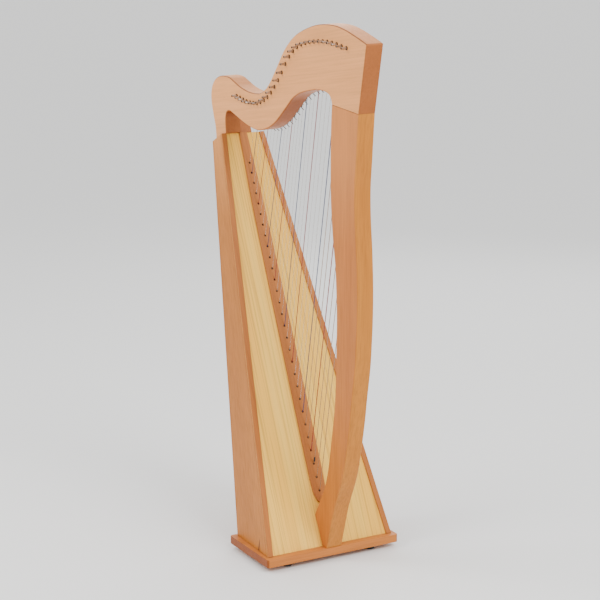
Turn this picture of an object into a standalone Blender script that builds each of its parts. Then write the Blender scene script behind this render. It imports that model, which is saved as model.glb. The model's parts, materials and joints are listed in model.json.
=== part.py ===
"""A lever harp: a tapered sound box on a base plate, a curved column, a harmonic neck, strings between them,
a turning tuning pin for each string and sharping levers.

Metres, +Z up, +X towards the column, +Y the side that carries the strings. The base plate stands on four feet.
"""

import bmesh
import bpy
from math import cos, pi, radians, sin
from mathutils import Matrix, Vector

MM = 0.001
GAP = 0.3 * MM

# Base and feet
BASE_BACK_X = -38.55 * MM
BASE_FRONT_X = 161.45 * MM
BASE_HALF_WIDTH = 185 * MM
BASE_THICKNESS = 20 * MM
BASE_CORNER = 6 * MM
FOOT_HEIGHT = 12.2 * MM
FOOT_RADIUS = 11 * MM
FOOT_FRONT_X = 135.75 * MM
FOOT_REAR_X = -13.25 * MM
FOOT_Y = 118.5 * MM
BASE_TOP_Z = FOOT_HEIGHT + BASE_THICKNESS

# Sound box, in its own frame: +X out of the soundboard, +Z up along it
BOX_FOOT = Vector((145.95 * MM, 0, BASE_TOP_Z))
BOX_TILT = radians(24.87)
BOX_LENGTH = 1072.5 * MM
BOX_HALF_WIDTH = 175.4 * MM
BOX_WIDTH_TAPER = 0.1062
BOX_DEPTH = 168.1 * MM
BOX_DEPTH_TAPER = 0.1017
TRIM_THICKNESS = 4 * MM
TRIM_WIDTH = 14 * MM
BOARD_THICKNESS = 3 * MM
SIDE_THICKNESS = 6 * MM
BACK_THICKNESS = 4 * MM
BOARD_FRONT = -(TRIM_THICKNESS + GAP)
BOARD_BACK = BOARD_FRONT - BOARD_THICKNESS
INSIDE_FRONT = BOARD_BACK - GAP
TOP_BLOCK_HEIGHT = 40 * MM
BOTTOM_BLOCK_HEIGHT = 34 * MM
BRACE_DEPTH = 22 * MM
BRACE_HEIGHT = 12 * MM
BRACE_AT = {"brace_lower": 400 * MM, "brace_upper": 730 * MM}
HEEL_FRONT = -2 * MM
HEEL_REAR_INSET = 9 * MM
HEEL_START_Y = -5 * MM
HEEL_REACH = 31 * MM
HEEL_HEIGHT = 66 * MM
HEEL_SHOULDER = 30 * MM
SOUND_HOLES = ((230, 52, 30), (480, 44, 26), (800, 34, 19))  # place along the back, half height, half width, mm

# String rib: place along the board and half width, mm
RIB_END = 105
RIB_EDGE = ((150, 19), (240, 20), (627, 19), (890, 16.3), (1000, 13), (1072.5, 11))

# Neck and column lean together to the side away from the strings
LEAN = radians(1.66)
NECK_FRAME_X = -2.25 * MM
FRAME_THICKNESS = 44 * MM
NECK_TOP = (
    (-359, 940), (-361, 982), (-371, 1015), (-380, 1052), (-377, 1080), (-364, 1100), (-344, 1113), (-316, 1119.5),
    (-277, 1118.5), (-249, 1109.5), (-221, 1099.5), (-194, 1093), (-167, 1088.5), (-134, 1087.5), (-105, 1091),
    (-68, 1112), (-25, 1156), (15, 1199), (60, 1231), (109, 1250), (174, 1264), (240, 1265.5), (290, 1258),
    (346, 1242), (384.5, 1229),
)
NECK_UNDER = (
    (229.5, 1094), (226.5, 1101), (219, 1108.5), (205, 1113.5), (186, 1116), (163, 1116), (139, 1113), (112, 1108.5),
    (87.5, 1103), (67.5, 1096), (47, 1085.5), (27, 1071), (-5, 1047), (-37, 1025), (-63, 1012), (-87.5, 1004),
    (-111.5, 999), (-137, 997), (-171, 1002), (-205, 1010.5), (-266, 1030), (-279, 1033), (-290, 1031),
    (-298, 1023), (-302, 1003), (-299, 940),
)
SEAM_FRONT = (346.5, 1075)
SEAM_INNER = (230.5, 1087.5)
COLUMN_FRONT = (
    (157, -12), (164.5, 7), (202, 114), (246, 209), (279, 331), (295, 409), (311, 484.5), (320.5, 558),
    (326, 620), (328.5, 690), (327, 766), (323, 836), (324, 904), (333, 973), (341.5, 1040), SEAM_FRONT,
)
COLUMN_INNER = (
    SEAM_INNER, (225, 1040), (219.5, 961), (217, 868), (222.5, 780), (231, 712), (233, 601), (227, 508), (217, 392),
    (196, 287), (166, 174), (112, 79), (60, -12),
)

# Strings, pins and levers
STRINGS = 29
FIRST_HOLE = 989.6 * MM
HOLE_STEPS = (26.9 * MM, 34.0 * MM)
FIRST_PIN_X = -234 * MM
PIN_STEPS = (17.4 * MM, 20.8 * MM)
PIN_LINE = (
    (-234, 1074.5), (-205, 1069), (-175, 1064), (-148, 1063), (-122, 1064.5), (-86, 1076), (-51, 1097), (-10, 1133),
    (30, 1176), (60, 1199), (93, 1214.5), (131, 1222.5), (172, 1226.5), (207, 1227.5), (245, 1225.5), (302, 1217),
)
STRING_RADII = (0.45 * MM, 0.8 * MM)
STRING_HOLE_RADIUS = 1.7 * MM
ANCHOR_THICKNESS = 5 * MM
STRING_SIDE = 13 * MM
SEMITONE = 0.056
PIN_RADIUS = 3.2 * MM
PIN_HOLE_RADIUS = 3.75 * MM
PIN_SQUARE = 2.5 * MM
PIN_NEAR = 15 * MM
PIN_FAR = 16 * MM
LEVER_STRINGS = (1, 4, 8, 11, 15, 18, 22, 25)
LEVER_RISE = 5 * MM
LEVER_AHEAD = 4.5 * MM
LEVER_HUB_RADIUS = 3.2 * MM
LEVER_ARM = 11 * MM
LEVER_FLARE = 11 * MM

COLOURS = {
    "beech": ((0.66, 0.42, 0.26), 0.45, 0.0),
    "beech_dark": ((0.52, 0.27, 0.13), 0.45, 0.0),
    "spruce": ((0.72, 0.54, 0.32), 0.5, 0.0),
    "rubber": ((0.02, 0.02, 0.02), 0.8, 0.0),
    "steel": ((0.35, 0.33, 0.32), 0.3, 1.0),
    "string": ((0.75, 0.75, 0.78), 0.35, 0.0),
}


def clear_scene():
    for obj in list(bpy.data.objects):
        bpy.data.objects.remove(obj, do_unlink=True)


def material(name):
    found = bpy.data.materials.get(name)
    if found:
        return found
    colour, roughness, metallic = COLOURS[name]
    made = bpy.data.materials.new(name)
    made.use_nodes = True
    shader = made.node_tree.nodes["Principled BSDF"]
    shader.inputs["Base Color"].default_value = (*colour, 1)
    shader.inputs["Roughness"].default_value = roughness
    shader.inputs["Metallic"].default_value = metallic
    return made


def frame_empty(name, location, rotation):
    empty = bpy.data.objects.new(name, None)
    empty.location = location
    empty.rotation_euler = rotation
    bpy.context.scene.collection.objects.link(empty)
    return empty


def matrix_of(empty):
    return Matrix.Translation(empty.location) @ empty.rotation_euler.to_matrix().to_4x4()


def add(name, bm, finish, parent=None, location=(0, 0, 0)):
    bmesh.ops.recalc_face_normals(bm, faces=bm.faces)
    mesh = bpy.data.meshes.new(name)
    bm.to_mesh(mesh)
    bm.free()
    mesh.materials.append(material(finish))
    obj = bpy.data.objects.new(name, mesh)
    obj.location = location
    obj.parent = parent
    bpy.context.scene.collection.objects.link(obj)
    return obj


def helper(name, bm, parent=None):
    obj = add(name, bm, "steel", parent)
    obj.hide_render = True
    obj.display_type = "WIRE"
    return obj


def combine(obj, other, operation):
    modifier = obj.modifiers.new(other.name, "BOOLEAN")
    modifier.object = other
    modifier.operation = operation
    modifier.solver = "EXACT"


def smooth_line(points, steps):
    """Points of a Catmull-Rom curve through the given ones, steps to each span."""
    knots = [Vector(point) for point in points]
    ends = [2 * knots[0] - knots[1]] + knots + [2 * knots[-1] - knots[-2]]
    line = []
    for a, b, c, d in zip(ends, ends[1:], ends[2:], ends[3:]):
        for step in range(steps):
            t = step / steps
            line.append(
                0.5 * (2 * b + (c - a) * t + (2 * a - 5 * b + 4 * c - d) * t**2 + (3 * b - a - 3 * c + d) * t**3)
            )
    return line + [knots[-1]]


def height_on(line, x):
    """Height at x of a line whose x runs one way."""
    for a, b in zip(line, line[1:]):
        if min(a.x, b.x) <= x <= max(a.x, b.x):
            return a.y + (b.y - a.y) * (x - a.x) / (b.x - a.x)
    return line[-1].y


def prism(outline, low, high, bm=None):
    """An XZ outline between y = low and y = high, which may be functions of z."""
    bm = bm or bmesh.new()
    low_at = low if callable(low) else lambda z: low
    high_at = high if callable(high) else lambda z: high
    near = [bm.verts.new((x, low_at(z), z)) for x, z in outline]
    far = [bm.verts.new((x, high_at(z), z)) for x, z in outline]
    bm.faces.new(near)
    bm.faces.new(far[::-1])
    for k in range(len(outline)):
        n = (k + 1) % len(outline)
        bm.faces.new((near[n], near[k], far[k], far[n]))
    return bm


def block(low, high):
    """A plain box between two corners."""
    bm = bmesh.new()
    ring = ((low[0], low[1]), (high[0], low[1]), (high[0], high[1]), (low[0], high[1]))
    ring_body(bm, [[(x, y, z) for x, y in ring] for z in (low[2], high[2])])
    return bm


def ring_body(bm, rings, matrix=Matrix()):
    """A closed body through rings of points, each a list of the same length."""
    loops = [[bm.verts.new(matrix @ Vector(point)) for point in ring] for ring in rings]
    for a, b in zip(loops, loops[1:]):
        for k in range(len(a)):
            n = (k + 1) % len(a)
            bm.faces.new((a[k], a[n], b[n], b[k]))
    bm.faces.new(loops[0][::-1])
    bm.faces.new(loops[-1])


def y_ring(radius, y, sides=8, centre=(0, 0)):
    turn = [2 * pi * (k + 0.5) / sides for k in range(sides)]
    return [(centre[0] + radius * cos(a), y, centre[1] + radius * sin(a)) for a in turn]


def z_cylinder(bm, centre, radius, low, high, sides=24):
    turn = [2 * pi * k / sides for k in range(sides)]
    rings = [[(centre[0] + radius * cos(a), centre[1] + radius * sin(a), z) for a in turn] for z in (low, high)]
    ring_body(bm, rings)


def tube(bm, path, radius, sides=6):
    """A bent rod through the path's points."""
    rings = []
    for k, point in enumerate(path):
        before = path[k] - path[k - 1] if k else path[1] - path[0]
        after = path[k + 1] - path[k] if k + 1 < len(path) else before
        along = (before.normalized() + after.normalized()).normalized()
        side = along.cross(Vector((0, 1, 0))).normalized()
        up = side.cross(along).normalized()
        turn = [2 * pi * j / sides for j in range(sides)]
        rings.append([point + radius * (cos(a) * side + sin(a) * up) for a in turn])
    ring_body(bm, rings)


# Places along the sound box


def half_width(z):
    return BOX_HALF_WIDTH - BOX_WIDTH_TAPER * z


def edge_at(side, inset=0):
    """The box's edge on one side as a function of z, moved in by the inset."""
    return lambda z: side * (half_width(z) - inset)


def back_x(z):
    return -(BOX_DEPTH - BOX_DEPTH_TAPER * z)


def foot_z(x, height=GAP):
    """The place along the box at which a piece at x is at this height above the base plate."""
    return (height - x * sin(BOX_TILT)) / cos(BOX_TILT)


def lengthened(first, steps, number):
    """Distance of item `number` when the step grows evenly from the first to the last."""
    start, end = steps
    return first + start * number + (end - start) * number**2 / (2 * (STRINGS - 1))


def hole_place(number):
    return FIRST_HOLE - lengthened(0, HOLE_STEPS, number)


def box_outline(front, back_inset, low_z=None, high_z=BOX_LENGTH):
    """Outline of a piece that fills the box from x = front to the back, or to back_inset inside it."""

    def back_at(z):
        return back_x(z) + back_inset

    if low_z is not None:
        return [(front, low_z), (front, high_z), (back_at(high_z), high_z), (back_at(low_z), low_z)]
    # The back line meets the base plane where foot_z(back_at(z)) == z.
    z = foot_z(back_x(0) + back_inset)
    for _ in range(20):
        z = foot_z(back_at(z))
    return [(front, foot_z(front)), (front, high_z), (back_at(high_z), high_z), (back_at(z), z)]


# The pieces


def make_base():
    bm = bmesh.new()
    corners = ((1, 1), (-1, 1), (-1, -1), (1, -1))
    middle = (BASE_FRONT_X + BASE_BACK_X) / 2
    reach = (BASE_FRONT_X - BASE_BACK_X) / 2 - BASE_CORNER
    outline = []
    for quarter, (sx, sy) in enumerate(corners):
        for step in range(7):
            a = pi / 2 * (quarter + step / 6)
            x = middle + sx * reach + BASE_CORNER * cos(a)
            y = sy * (BASE_HALF_WIDTH - BASE_CORNER) + BASE_CORNER * sin(a)
            outline.append((x, y))
    rings = [[(x, y, z) for x, y in outline] for z in (FOOT_HEIGHT + GAP, BASE_TOP_Z)]
    ring_body(bm, rings)
    base = add("base_plate", bm, "beech_dark")
    for name, x, y in (
        ("foot_front_right", FOOT_FRONT_X, -FOOT_Y),
        ("foot_front_left", FOOT_FRONT_X, FOOT_Y),
        ("foot_rear_right", FOOT_REAR_X, -FOOT_Y),
        ("foot_rear_left", FOOT_REAR_X, FOOT_Y),
    ):
        bm = bmesh.new()
        z_cylinder(bm, (0, 0), FOOT_RADIUS, 0, FOOT_HEIGHT)
        add(name, bm, "rubber", location=(x, y, 0))
    return base


def make_box(board):
    for side, name in ((-1, "right"), (1, "left")):
        outline = box_outline(INSIDE_FRONT, BACK_THICKNESS + GAP)
        panel = prism(outline, edge_at(side), edge_at(side, SIDE_THICKNESS))
        add("side_panel_" + name, panel, "beech", board)
        outline = [
            (0, foot_z(0)), (0, BOX_LENGTH), (-TRIM_THICKNESS, BOX_LENGTH), (-TRIM_THICKNESS, foot_z(-TRIM_THICKNESS)),
        ]
        trim = prism(outline, edge_at(side), edge_at(side, TRIM_WIDTH))
        add("edge_trim_" + name, trim, "beech_dark", board)

    outline = [
        (BOARD_FRONT, foot_z(BOARD_FRONT)), (BOARD_FRONT, BOX_LENGTH), (BOARD_BACK, BOX_LENGTH),
        (BOARD_BACK, foot_z(BOARD_BACK)),
    ]
    soundboard = add("soundboard", prism(outline, edge_at(-1), edge_at(1)), "spruce", board)

    back_line = box_outline(INSIDE_FRONT, BACK_THICKNESS)
    outer_line = box_outline(INSIDE_FRONT, 0)
    outline = [back_line[3], back_line[2], outer_line[2], outer_line[3]]
    back = add("back_panel", prism(outline, edge_at(-1), edge_at(1)), "beech", board)
    holes = bmesh.new()
    for place, tall, broad in SOUND_HOLES:
        x = back_x(place * MM)
        turn = [2 * pi * k / 24 for k in range(24)]
        rings = [
            [(x + shift, broad * MM * cos(a), place * MM + tall * MM * sin(a)) for a in turn]
            for shift in (-15 * MM, 15 * MM)
        ]
        ring_body(holes, rings)
    combine(back, helper("sound_hole_cutter", holes, board), "DIFFERENCE")

    right, left = (edge_at(side, SIDE_THICKNESS + GAP) for side in (-1, 1))
    inset = BACK_THICKNESS + 2 * GAP
    front = INSIDE_FRONT
    outline = box_outline(front, inset, low_z=BOX_LENGTH - TOP_BLOCK_HEIGHT)
    add("top_block", prism(outline, right, left), "beech", board)
    outline = box_outline(front, inset)
    outline[1] = (front, foot_z(front, BOTTOM_BLOCK_HEIGHT))
    rear = outline[3][0] + BOTTOM_BLOCK_HEIGHT * BOX_DEPTH_TAPER
    outline[2] = (rear, foot_z(rear, BOTTOM_BLOCK_HEIGHT))
    bottom_block = add("bottom_block", prism(outline, right, left), "beech", board)
    for name, place in BRACE_AT.items():
        low, high = place, place + BRACE_HEIGHT
        outline = [
            (back_x(low) + inset, low), (back_x(high) + inset, high),
            (back_x(high) + inset + BRACE_DEPTH, high), (back_x(high) + inset + BRACE_DEPTH, low),
        ]
        add(name, prism(outline, right, left), "spruce", board)
    return soundboard, bottom_block


def make_rib(board):
    edge = [(RIB_END + 45 * (1 - cos(a)), 19 * sin(a)) for a in (pi / 10 * k for k in range(1, 5))]
    edge += [tuple(point) for point in smooth_line(RIB_EDGE, 2)]
    right = [(-y * MM, z * MM) for z, y in edge]
    left = [(y * MM, z * MM) for z, y in reversed(edge)]
    outline = [(0, RIB_END * MM)] + right + left
    rings = [[(x, y, z) for y, z in outline] for x in (-TRIM_THICKNESS, 0)]
    bm = bmesh.new()
    ring_body(bm, rings)
    return add("string_rib", bm, "beech_dark", board)


def make_neck(lean, board, top, under):
    points = [top[k] for k in range(len(top))]
    points += [Vector(SEAM_FRONT) + Vector((0, GAP / MM)), Vector(SEAM_INNER) + Vector((0, GAP / MM))]
    points += under
    outline = [(point.x * MM, point.y * MM) for point in points]
    half = FRAME_THICKNESS / 2
    neck = add("neck", prism(outline, -half, half), "beech", lean)
    below = block((-110 * MM, -90 * MM, BOX_LENGTH - 120 * MM), (30 * MM, 60 * MM, BOX_LENGTH + GAP))
    combine(neck, helper("leg_cutter", below, board), "DIFFERENCE")
    return neck


def make_column(lean, board):
    front = smooth_line(COLUMN_FRONT[1:], 2)
    inner = smooth_line(COLUMN_INNER[:-1], 2)
    points = [Vector(COLUMN_FRONT[0])] + front + inner + [Vector(COLUMN_INNER[-1])]
    half = FRAME_THICKNESS / 2
    column = add("column", prism([(point.x * MM, point.y * MM) for point in points], -half, half), "beech", lean)
    under_foot = block((0, -90 * MM, -40 * MM), (250 * MM, 90 * MM, BASE_TOP_Z + GAP))
    combine(column, helper("foot_cutter", under_foot), "DIFFERENCE")
    behind = block((-200 * MM, -90 * MM, -60 * MM), (BOARD_FRONT + GAP, 90 * MM, 300 * MM))
    combine(column, helper("scarf_cutter", behind, board), "DIFFERENCE")
    return column


def make_heel(board):
    """The glued block beside the neck's leg, coved down to the top of the box."""
    low = BOX_LENGTH + GAP
    outer = HEEL_START_Y + HEEL_REACH
    cove_height = HEEL_HEIGHT - HEEL_SHOULDER
    outline = [(HEEL_START_Y, low), (HEEL_START_Y, low + HEEL_HEIGHT)]
    for step in range(1, 7):
        a = pi / 2 * step / 6
        outline.append((outer - HEEL_REACH * cos(a), low + HEEL_HEIGHT - cove_height * sin(a)))
    outline.append((outer, low))
    rings = [[(x, y, z) for y, z in outline] for x in (HEEL_FRONT, back_x(BOX_LENGTH) + HEEL_REAR_INSET)]
    bm = bmesh.new()
    ring_body(bm, rings)
    return add("neck_heel", bm, "beech", board)


def pin_places(pin_line):
    places = []
    for number in range(STRINGS):
        x = lengthened(FIRST_PIN_X, PIN_STEPS, number)
        places.append((x, height_on(pin_line, x / MM) * MM))
    return places


def make_pins(lean, places, neck):
    half = FRAME_THICKNESS / 2
    holes = bmesh.new()
    for x, z in places:
        ring_body(holes, [y_ring(PIN_HOLE_RADIUS, y, centre=(x, z)) for y in (-half - 3 * MM, half + 3 * MM)])
    combine(neck, helper("pin_hole_cutter", holes, lean), "DIFFERENCE")

    square = []
    for k in range(8):
        a = 2 * pi * (k + 0.5) / 8
        reach = PIN_SQUARE / max(abs(cos(a)), abs(sin(a)))
        square.append((reach * cos(a), reach * sin(a)))
    near, far = -half - PIN_NEAR, half + PIN_FAR
    rings = [[(x, y, z) for x, z in square] for y in (near, near + 8.5 * MM)]
    rings += [y_ring(PIN_RADIUS, y) for y in (near + 9.5 * MM, far)]
    mesh = None
    for number, (x, z) in enumerate(places, 1):
        name = f"tuning_pin_{number:02d}"
        if mesh is None:
            bm = bmesh.new()
            ring_body(bm, rings)
            mesh = add(name, bm, "steel", lean, (x, 0, z)).data
            continue
        pin = bpy.data.objects.new(name, mesh)
        pin.location = (x, 0, z)
        pin.parent = lean
        bpy.context.scene.collection.objects.link(pin)


def string_route(number, board, lean, pin_place, under_line):
    """Points of one string in world coordinates, and the place of its bridge pin in the lean frame."""
    radius = string_radius(number)
    in_board, in_lean = matrix_of(board), matrix_of(lean)
    place = hole_place(number)
    anchor = in_board @ Vector((INSIDE_FRONT - ANCHOR_THICKNESS / 2, 0, place))
    surface = in_board @ Vector((radius + 0.5 * MM, 0, place))
    side = FRAME_THICKNESS / 2 + STRING_SIDE
    start = in_lean.inverted() @ surface
    end = Vector((pin_place[0] + PIN_RADIUS + radius + GAP, side, pin_place[1]))
    length = (end - start).length
    bridge_z = height_on(under_line, end.x / MM) * MM + LEVER_RISE + SEMITONE * length
    share = (bridge_z - start.z) / (end.z - start.z)
    bridge = start.lerp(end, share) - Vector((2 * MM, 0, 0))
    bridge.y = side
    return [anchor, surface, in_lean @ bridge, in_lean @ end], bridge


def string_radius(number):
    thin, thick = STRING_RADII
    return thin + (thick - thin) * number / (STRINGS - 1)


def make_strings(board, lean, places, under_line, pierced):
    low = hole_place(STRINGS - 1) - 12 * MM
    high = hole_place(0) + 12 * MM
    back, front = INSIDE_FRONT - ANCHOR_THICKNESS, INSIDE_FRONT
    bm = prism([(back, low), (back, high), (front, high), (front, low)], -6 * MM, 6 * MM)
    strings = add("strings", bm, "string", board)
    tubes = bmesh.new()
    for number in range(STRINGS):
        route = string_route(number, board, lean, places[number], under_line)[0]
        tube(tubes, route, string_radius(number))
    combine(strings, helper("string_tubes", tubes), "UNION")

    holes = bmesh.new()
    for number in range(STRINGS):
        turn = [2 * pi * (k + 0.5) / 8 for k in range(8)]
        y_z = [(STRING_HOLE_RADIUS * cos(a), hole_place(number) + STRING_HOLE_RADIUS * sin(a)) for a in turn]
        ring_body(holes, [[(x, y, z) for y, z in y_z] for x in (INSIDE_FRONT - GAP / 2, 4 * MM)])
    cutter = helper("string_hole_cutter", holes, board)
    for obj in pierced:
        combine(obj, cutter, "DIFFERENCE")


def make_levers(board, lean, places, under_line):
    """Each lever turns on a hub beside its string, with an arm that hangs down and bends outwards."""
    half = FRAME_THICKNESS / 2
    for number in LEVER_STRINGS:
        bridge = string_route(number, board, lean, places[number], under_line)[1]
        route = string_route(number, board, lean, places[number], under_line)[0]
        start, end = (matrix_of(lean).inverted() @ route[k] for k in (1, 2))
        z = height_on(under_line, bridge.x / MM) * MM + LEVER_RISE
        x = start.lerp(end, (z - start.z) / (end.z - start.z)).x + LEVER_AHEAD
        bm = bmesh.new()
        ring_body(bm, [y_ring(LEVER_HUB_RADIUS, y, 12) for y in (1 * MM, 5.5 * MM)])
        arm = helper(f"lever_arm_{number + 1:02d}", arm_mesh(), lean)
        arm.location = (x, half, z)
        lever = add(f"lever_{number + 1:02d}", bm, "steel", lean, (x, half, z))
        combine(lever, arm, "UNION")


def arm_mesh():
    """A flat arm in the lever's own frame, from inside the hub down and out to its tip."""
    wide = 1.4 * MM
    rings = []
    for out, down, thick in ((3.2, 0, 2.6), (3.4, 3.6, 2.2), (6.5, 7, 1.6), (LEVER_FLARE / MM, LEVER_ARM / MM, 1.4)):
        y, z, t = out * MM, -down * MM, thick * MM / 2
        rings.append([(-wide, y - t, z), (wide, y - t, z), (wide, y + t, z), (-wide, y + t, z)])
    bm = bmesh.new()
    ring_body(bm, rings)
    return bm


def make_fasteners(base, column, neck, bottom_block, lean):
    """Bolts up through the base plate, and a hidden dowel where the column meets the neck."""
    bolts = {"box_bolt": ((38 * MM, 0), bottom_block), "column_bolt": ((150 * MM, -0.5 * MM), column)}
    for name, (centre, target) in bolts.items():
        hole = bmesh.new()
        z_cylinder(hole, centre, 3.4 * MM, FOOT_HEIGHT - 2 * MM, BASE_TOP_Z + 24.5 * MM, 16)
        shank_hole = helper(name + "_hole", hole)
        recess = bmesh.new()
        z_cylinder(recess, centre, 7 * MM, FOOT_HEIGHT - 2 * MM, FOOT_HEIGHT + 6 * MM, 16)
        combine(base, helper(name + "_recess", recess), "DIFFERENCE")
        combine(base, shank_hole, "DIFFERENCE")
        combine(target, shank_hole, "DIFFERENCE")
        bm = bmesh.new()
        rings = []
        for radius, z in ((6, 1), (6, 5.7), (3, 5.7), (3, BASE_THICKNESS / MM + 24)):
            turn = [2 * pi * k / 16 for k in range(16)]
            rings.append([(radius * MM * cos(a), radius * MM * sin(a), z * MM) for a in turn])
        ring_body(bm, rings)
        add(name, bm, "steel", location=(*centre, FOOT_HEIGHT))

    seam = (Vector(SEAM_FRONT) + Vector(SEAM_INNER)) / 2 * MM
    hole = bmesh.new()
    z_cylinder(hole, (seam.x, 0), 6.4 * MM, seam.y - 30.5 * MM, seam.y + 30.5 * MM, 16)
    cutter = helper("column_dowel_hole", hole, lean)
    combine(column, cutter, "DIFFERENCE")
    combine(neck, cutter, "DIFFERENCE")
    bm = bmesh.new()
    z_cylinder(bm, (0, 0), 6 * MM, -30 * MM, 30 * MM, 16)
    add("column_dowel", bm, "beech", lean, (seam.x, 0, seam.y))


def main():
    clear_scene()
    board = frame_empty("box_frame", BOX_FOOT, (0, -BOX_TILT, 0))
    lean = frame_empty("neck_frame", (NECK_FRAME_X, 0, BASE_TOP_Z), (LEAN, 0, 0))
    top = smooth_line(NECK_TOP, 2)
    under = smooth_line(NECK_UNDER, 2)
    under_line = [point for point in under if point.y > 990]
    places = pin_places(smooth_line(PIN_LINE, 4))

    base = make_base()
    soundboard, bottom_block = make_box(board)
    rib = make_rib(board)
    neck = make_neck(lean, board, top, under)
    column = make_column(lean, board)
    make_heel(board)
    make_pins(lean, places, neck)
    make_strings(board, lean, places, under_line, (soundboard, rib))
    make_levers(board, lean, places, under_line)
    make_fasteners(base, column, neck, bottom_block, lean)


main()
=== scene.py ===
"""Looks of the lever harp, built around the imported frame. Metres, in the frame's own axes."""

import json
from math import cos, pi, radians, sin

import bmesh
import bpy
from mathutils import Matrix, Vector
from mathutils.bvhtree import BVHTree


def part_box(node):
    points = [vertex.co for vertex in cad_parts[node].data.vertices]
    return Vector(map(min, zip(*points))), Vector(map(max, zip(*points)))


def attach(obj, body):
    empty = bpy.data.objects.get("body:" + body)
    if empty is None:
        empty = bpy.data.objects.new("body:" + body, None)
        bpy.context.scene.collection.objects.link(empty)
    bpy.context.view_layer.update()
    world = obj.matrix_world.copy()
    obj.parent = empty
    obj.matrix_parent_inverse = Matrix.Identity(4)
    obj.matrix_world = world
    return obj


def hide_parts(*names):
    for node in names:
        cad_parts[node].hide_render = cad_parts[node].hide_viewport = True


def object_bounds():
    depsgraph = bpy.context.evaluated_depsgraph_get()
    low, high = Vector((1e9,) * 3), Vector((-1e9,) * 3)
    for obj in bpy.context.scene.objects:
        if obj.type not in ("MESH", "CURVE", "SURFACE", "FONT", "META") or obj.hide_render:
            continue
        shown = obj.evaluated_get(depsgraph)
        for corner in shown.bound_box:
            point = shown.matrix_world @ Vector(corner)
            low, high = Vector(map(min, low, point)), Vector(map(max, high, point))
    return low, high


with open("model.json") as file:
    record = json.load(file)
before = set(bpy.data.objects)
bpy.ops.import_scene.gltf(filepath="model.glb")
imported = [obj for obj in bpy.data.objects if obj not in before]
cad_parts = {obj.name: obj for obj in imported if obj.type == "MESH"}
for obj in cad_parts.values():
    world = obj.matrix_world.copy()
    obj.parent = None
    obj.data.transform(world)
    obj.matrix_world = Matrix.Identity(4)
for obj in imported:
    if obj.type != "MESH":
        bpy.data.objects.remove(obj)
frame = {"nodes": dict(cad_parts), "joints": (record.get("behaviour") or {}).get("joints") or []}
CAD_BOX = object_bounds()
MM = 0.001
GAP = 0.3 * MM

# Sound box, as the frame has it: its own axes are +X out of the soundboard and +Z up along it
BOX_FOOT = Vector((145.95, 0, 32.2)) * MM
BOX_TILT = radians(24.87)
BOX_LENGTH = 1072.5 * MM
TRIM_THICKNESS = 4 * MM
BOARD_DEPTH = 7.6 * MM
STRIP_DEPTH = 4.9 * MM
STRIP_HALF_WIDTH = 6 * MM
STRIP_END = 12 * MM
BOX_AXES = Matrix.Translation(BOX_FOOT) @ Matrix.Rotation(-BOX_TILT, 4, "Y")
UP_BOX = (-sin(BOX_TILT), 0, cos(BOX_TILT))

# Axes of the neck and the column, which lean together, as the frame's joints have them
STRINGS = 29
JOINTS = {joint["name"]: joint for joint in frame["joints"]}
PINS = [Vector(JOINTS[f"turn_pin_{number:02d}"]["pos_m"]) for number in range(1, STRINGS + 1)]
SIDEWAYS = Vector(JOINTS["turn_pin_01"]["axis"])
AHEAD = Vector((1, 0, 0))
UPWARD = AHEAD.cross(SIDEWAYS)
NECK_AXES = Matrix((AHEAD, SIDEWAYS, UPWARD)).transposed().to_4x4()
NECK_FOOT = Vector((-2.25, 0, 32.2)) * MM
NECK_PLACE = Matrix.Translation(NECK_FOOT) @ NECK_AXES

# Outlines of the neck and the column, ahead and up from the neck's foot, mm
NECK_TOP = (
    (-359, 940), (-361, 982), (-371, 1015), (-380, 1052), (-377, 1080), (-364, 1100), (-344, 1113),
    (-316, 1119.5), (-277, 1118.5), (-249, 1109.5), (-221, 1099.5), (-194, 1093), (-167, 1088.5),
    (-134, 1087.5), (-105, 1091), (-68, 1112), (-25, 1156), (15, 1199), (60, 1231), (109, 1250), (174, 1264),
    (240, 1265.5), (290, 1258), (346, 1242), (384.5, 1229),
)
NECK_UNDER = (
    (229.5, 1094), (226.5, 1101), (219, 1108.5), (205, 1113.5), (186, 1116), (163, 1116), (139, 1113),
    (112, 1108.5), (87.5, 1103), (67.5, 1096), (47, 1085.5), (27, 1071), (-5, 1047), (-37, 1025), (-63, 1012),
    (-87.5, 1004), (-111.5, 999), (-137, 997), (-171, 1002), (-205, 1010.5), (-266, 1030), (-279, 1033),
    (-290, 1031), (-298, 1023), (-302, 1003), (-299, 940),
)
SEAM_FRONT = (346.5, 1075)
SEAM_INNER = (230.5, 1087.5)
COLUMN_FRONT = (
    (157, -12), (164.5, 7), (202, 114), (246, 209), (279, 331), (295, 409), (311, 484.5), (320.5, 558),
    (326, 620), (328.5, 690), (327, 766), (323, 836), (324, 904), (333, 973), (341.5, 1040), SEAM_FRONT,
)
COLUMN_INNER = (
    SEAM_INNER, (225, 1040), (219.5, 961), (217, 868), (222.5, 780), (231, 712), (233, 601), (227, 508),
    (217, 392), (196, 287), (166, 174), (112, 79), (60, -12),
)
EASED = 3.2 * MM
EASED_SEAM = 0.5 * MM
HALF_NECK = 22 * MM

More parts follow.
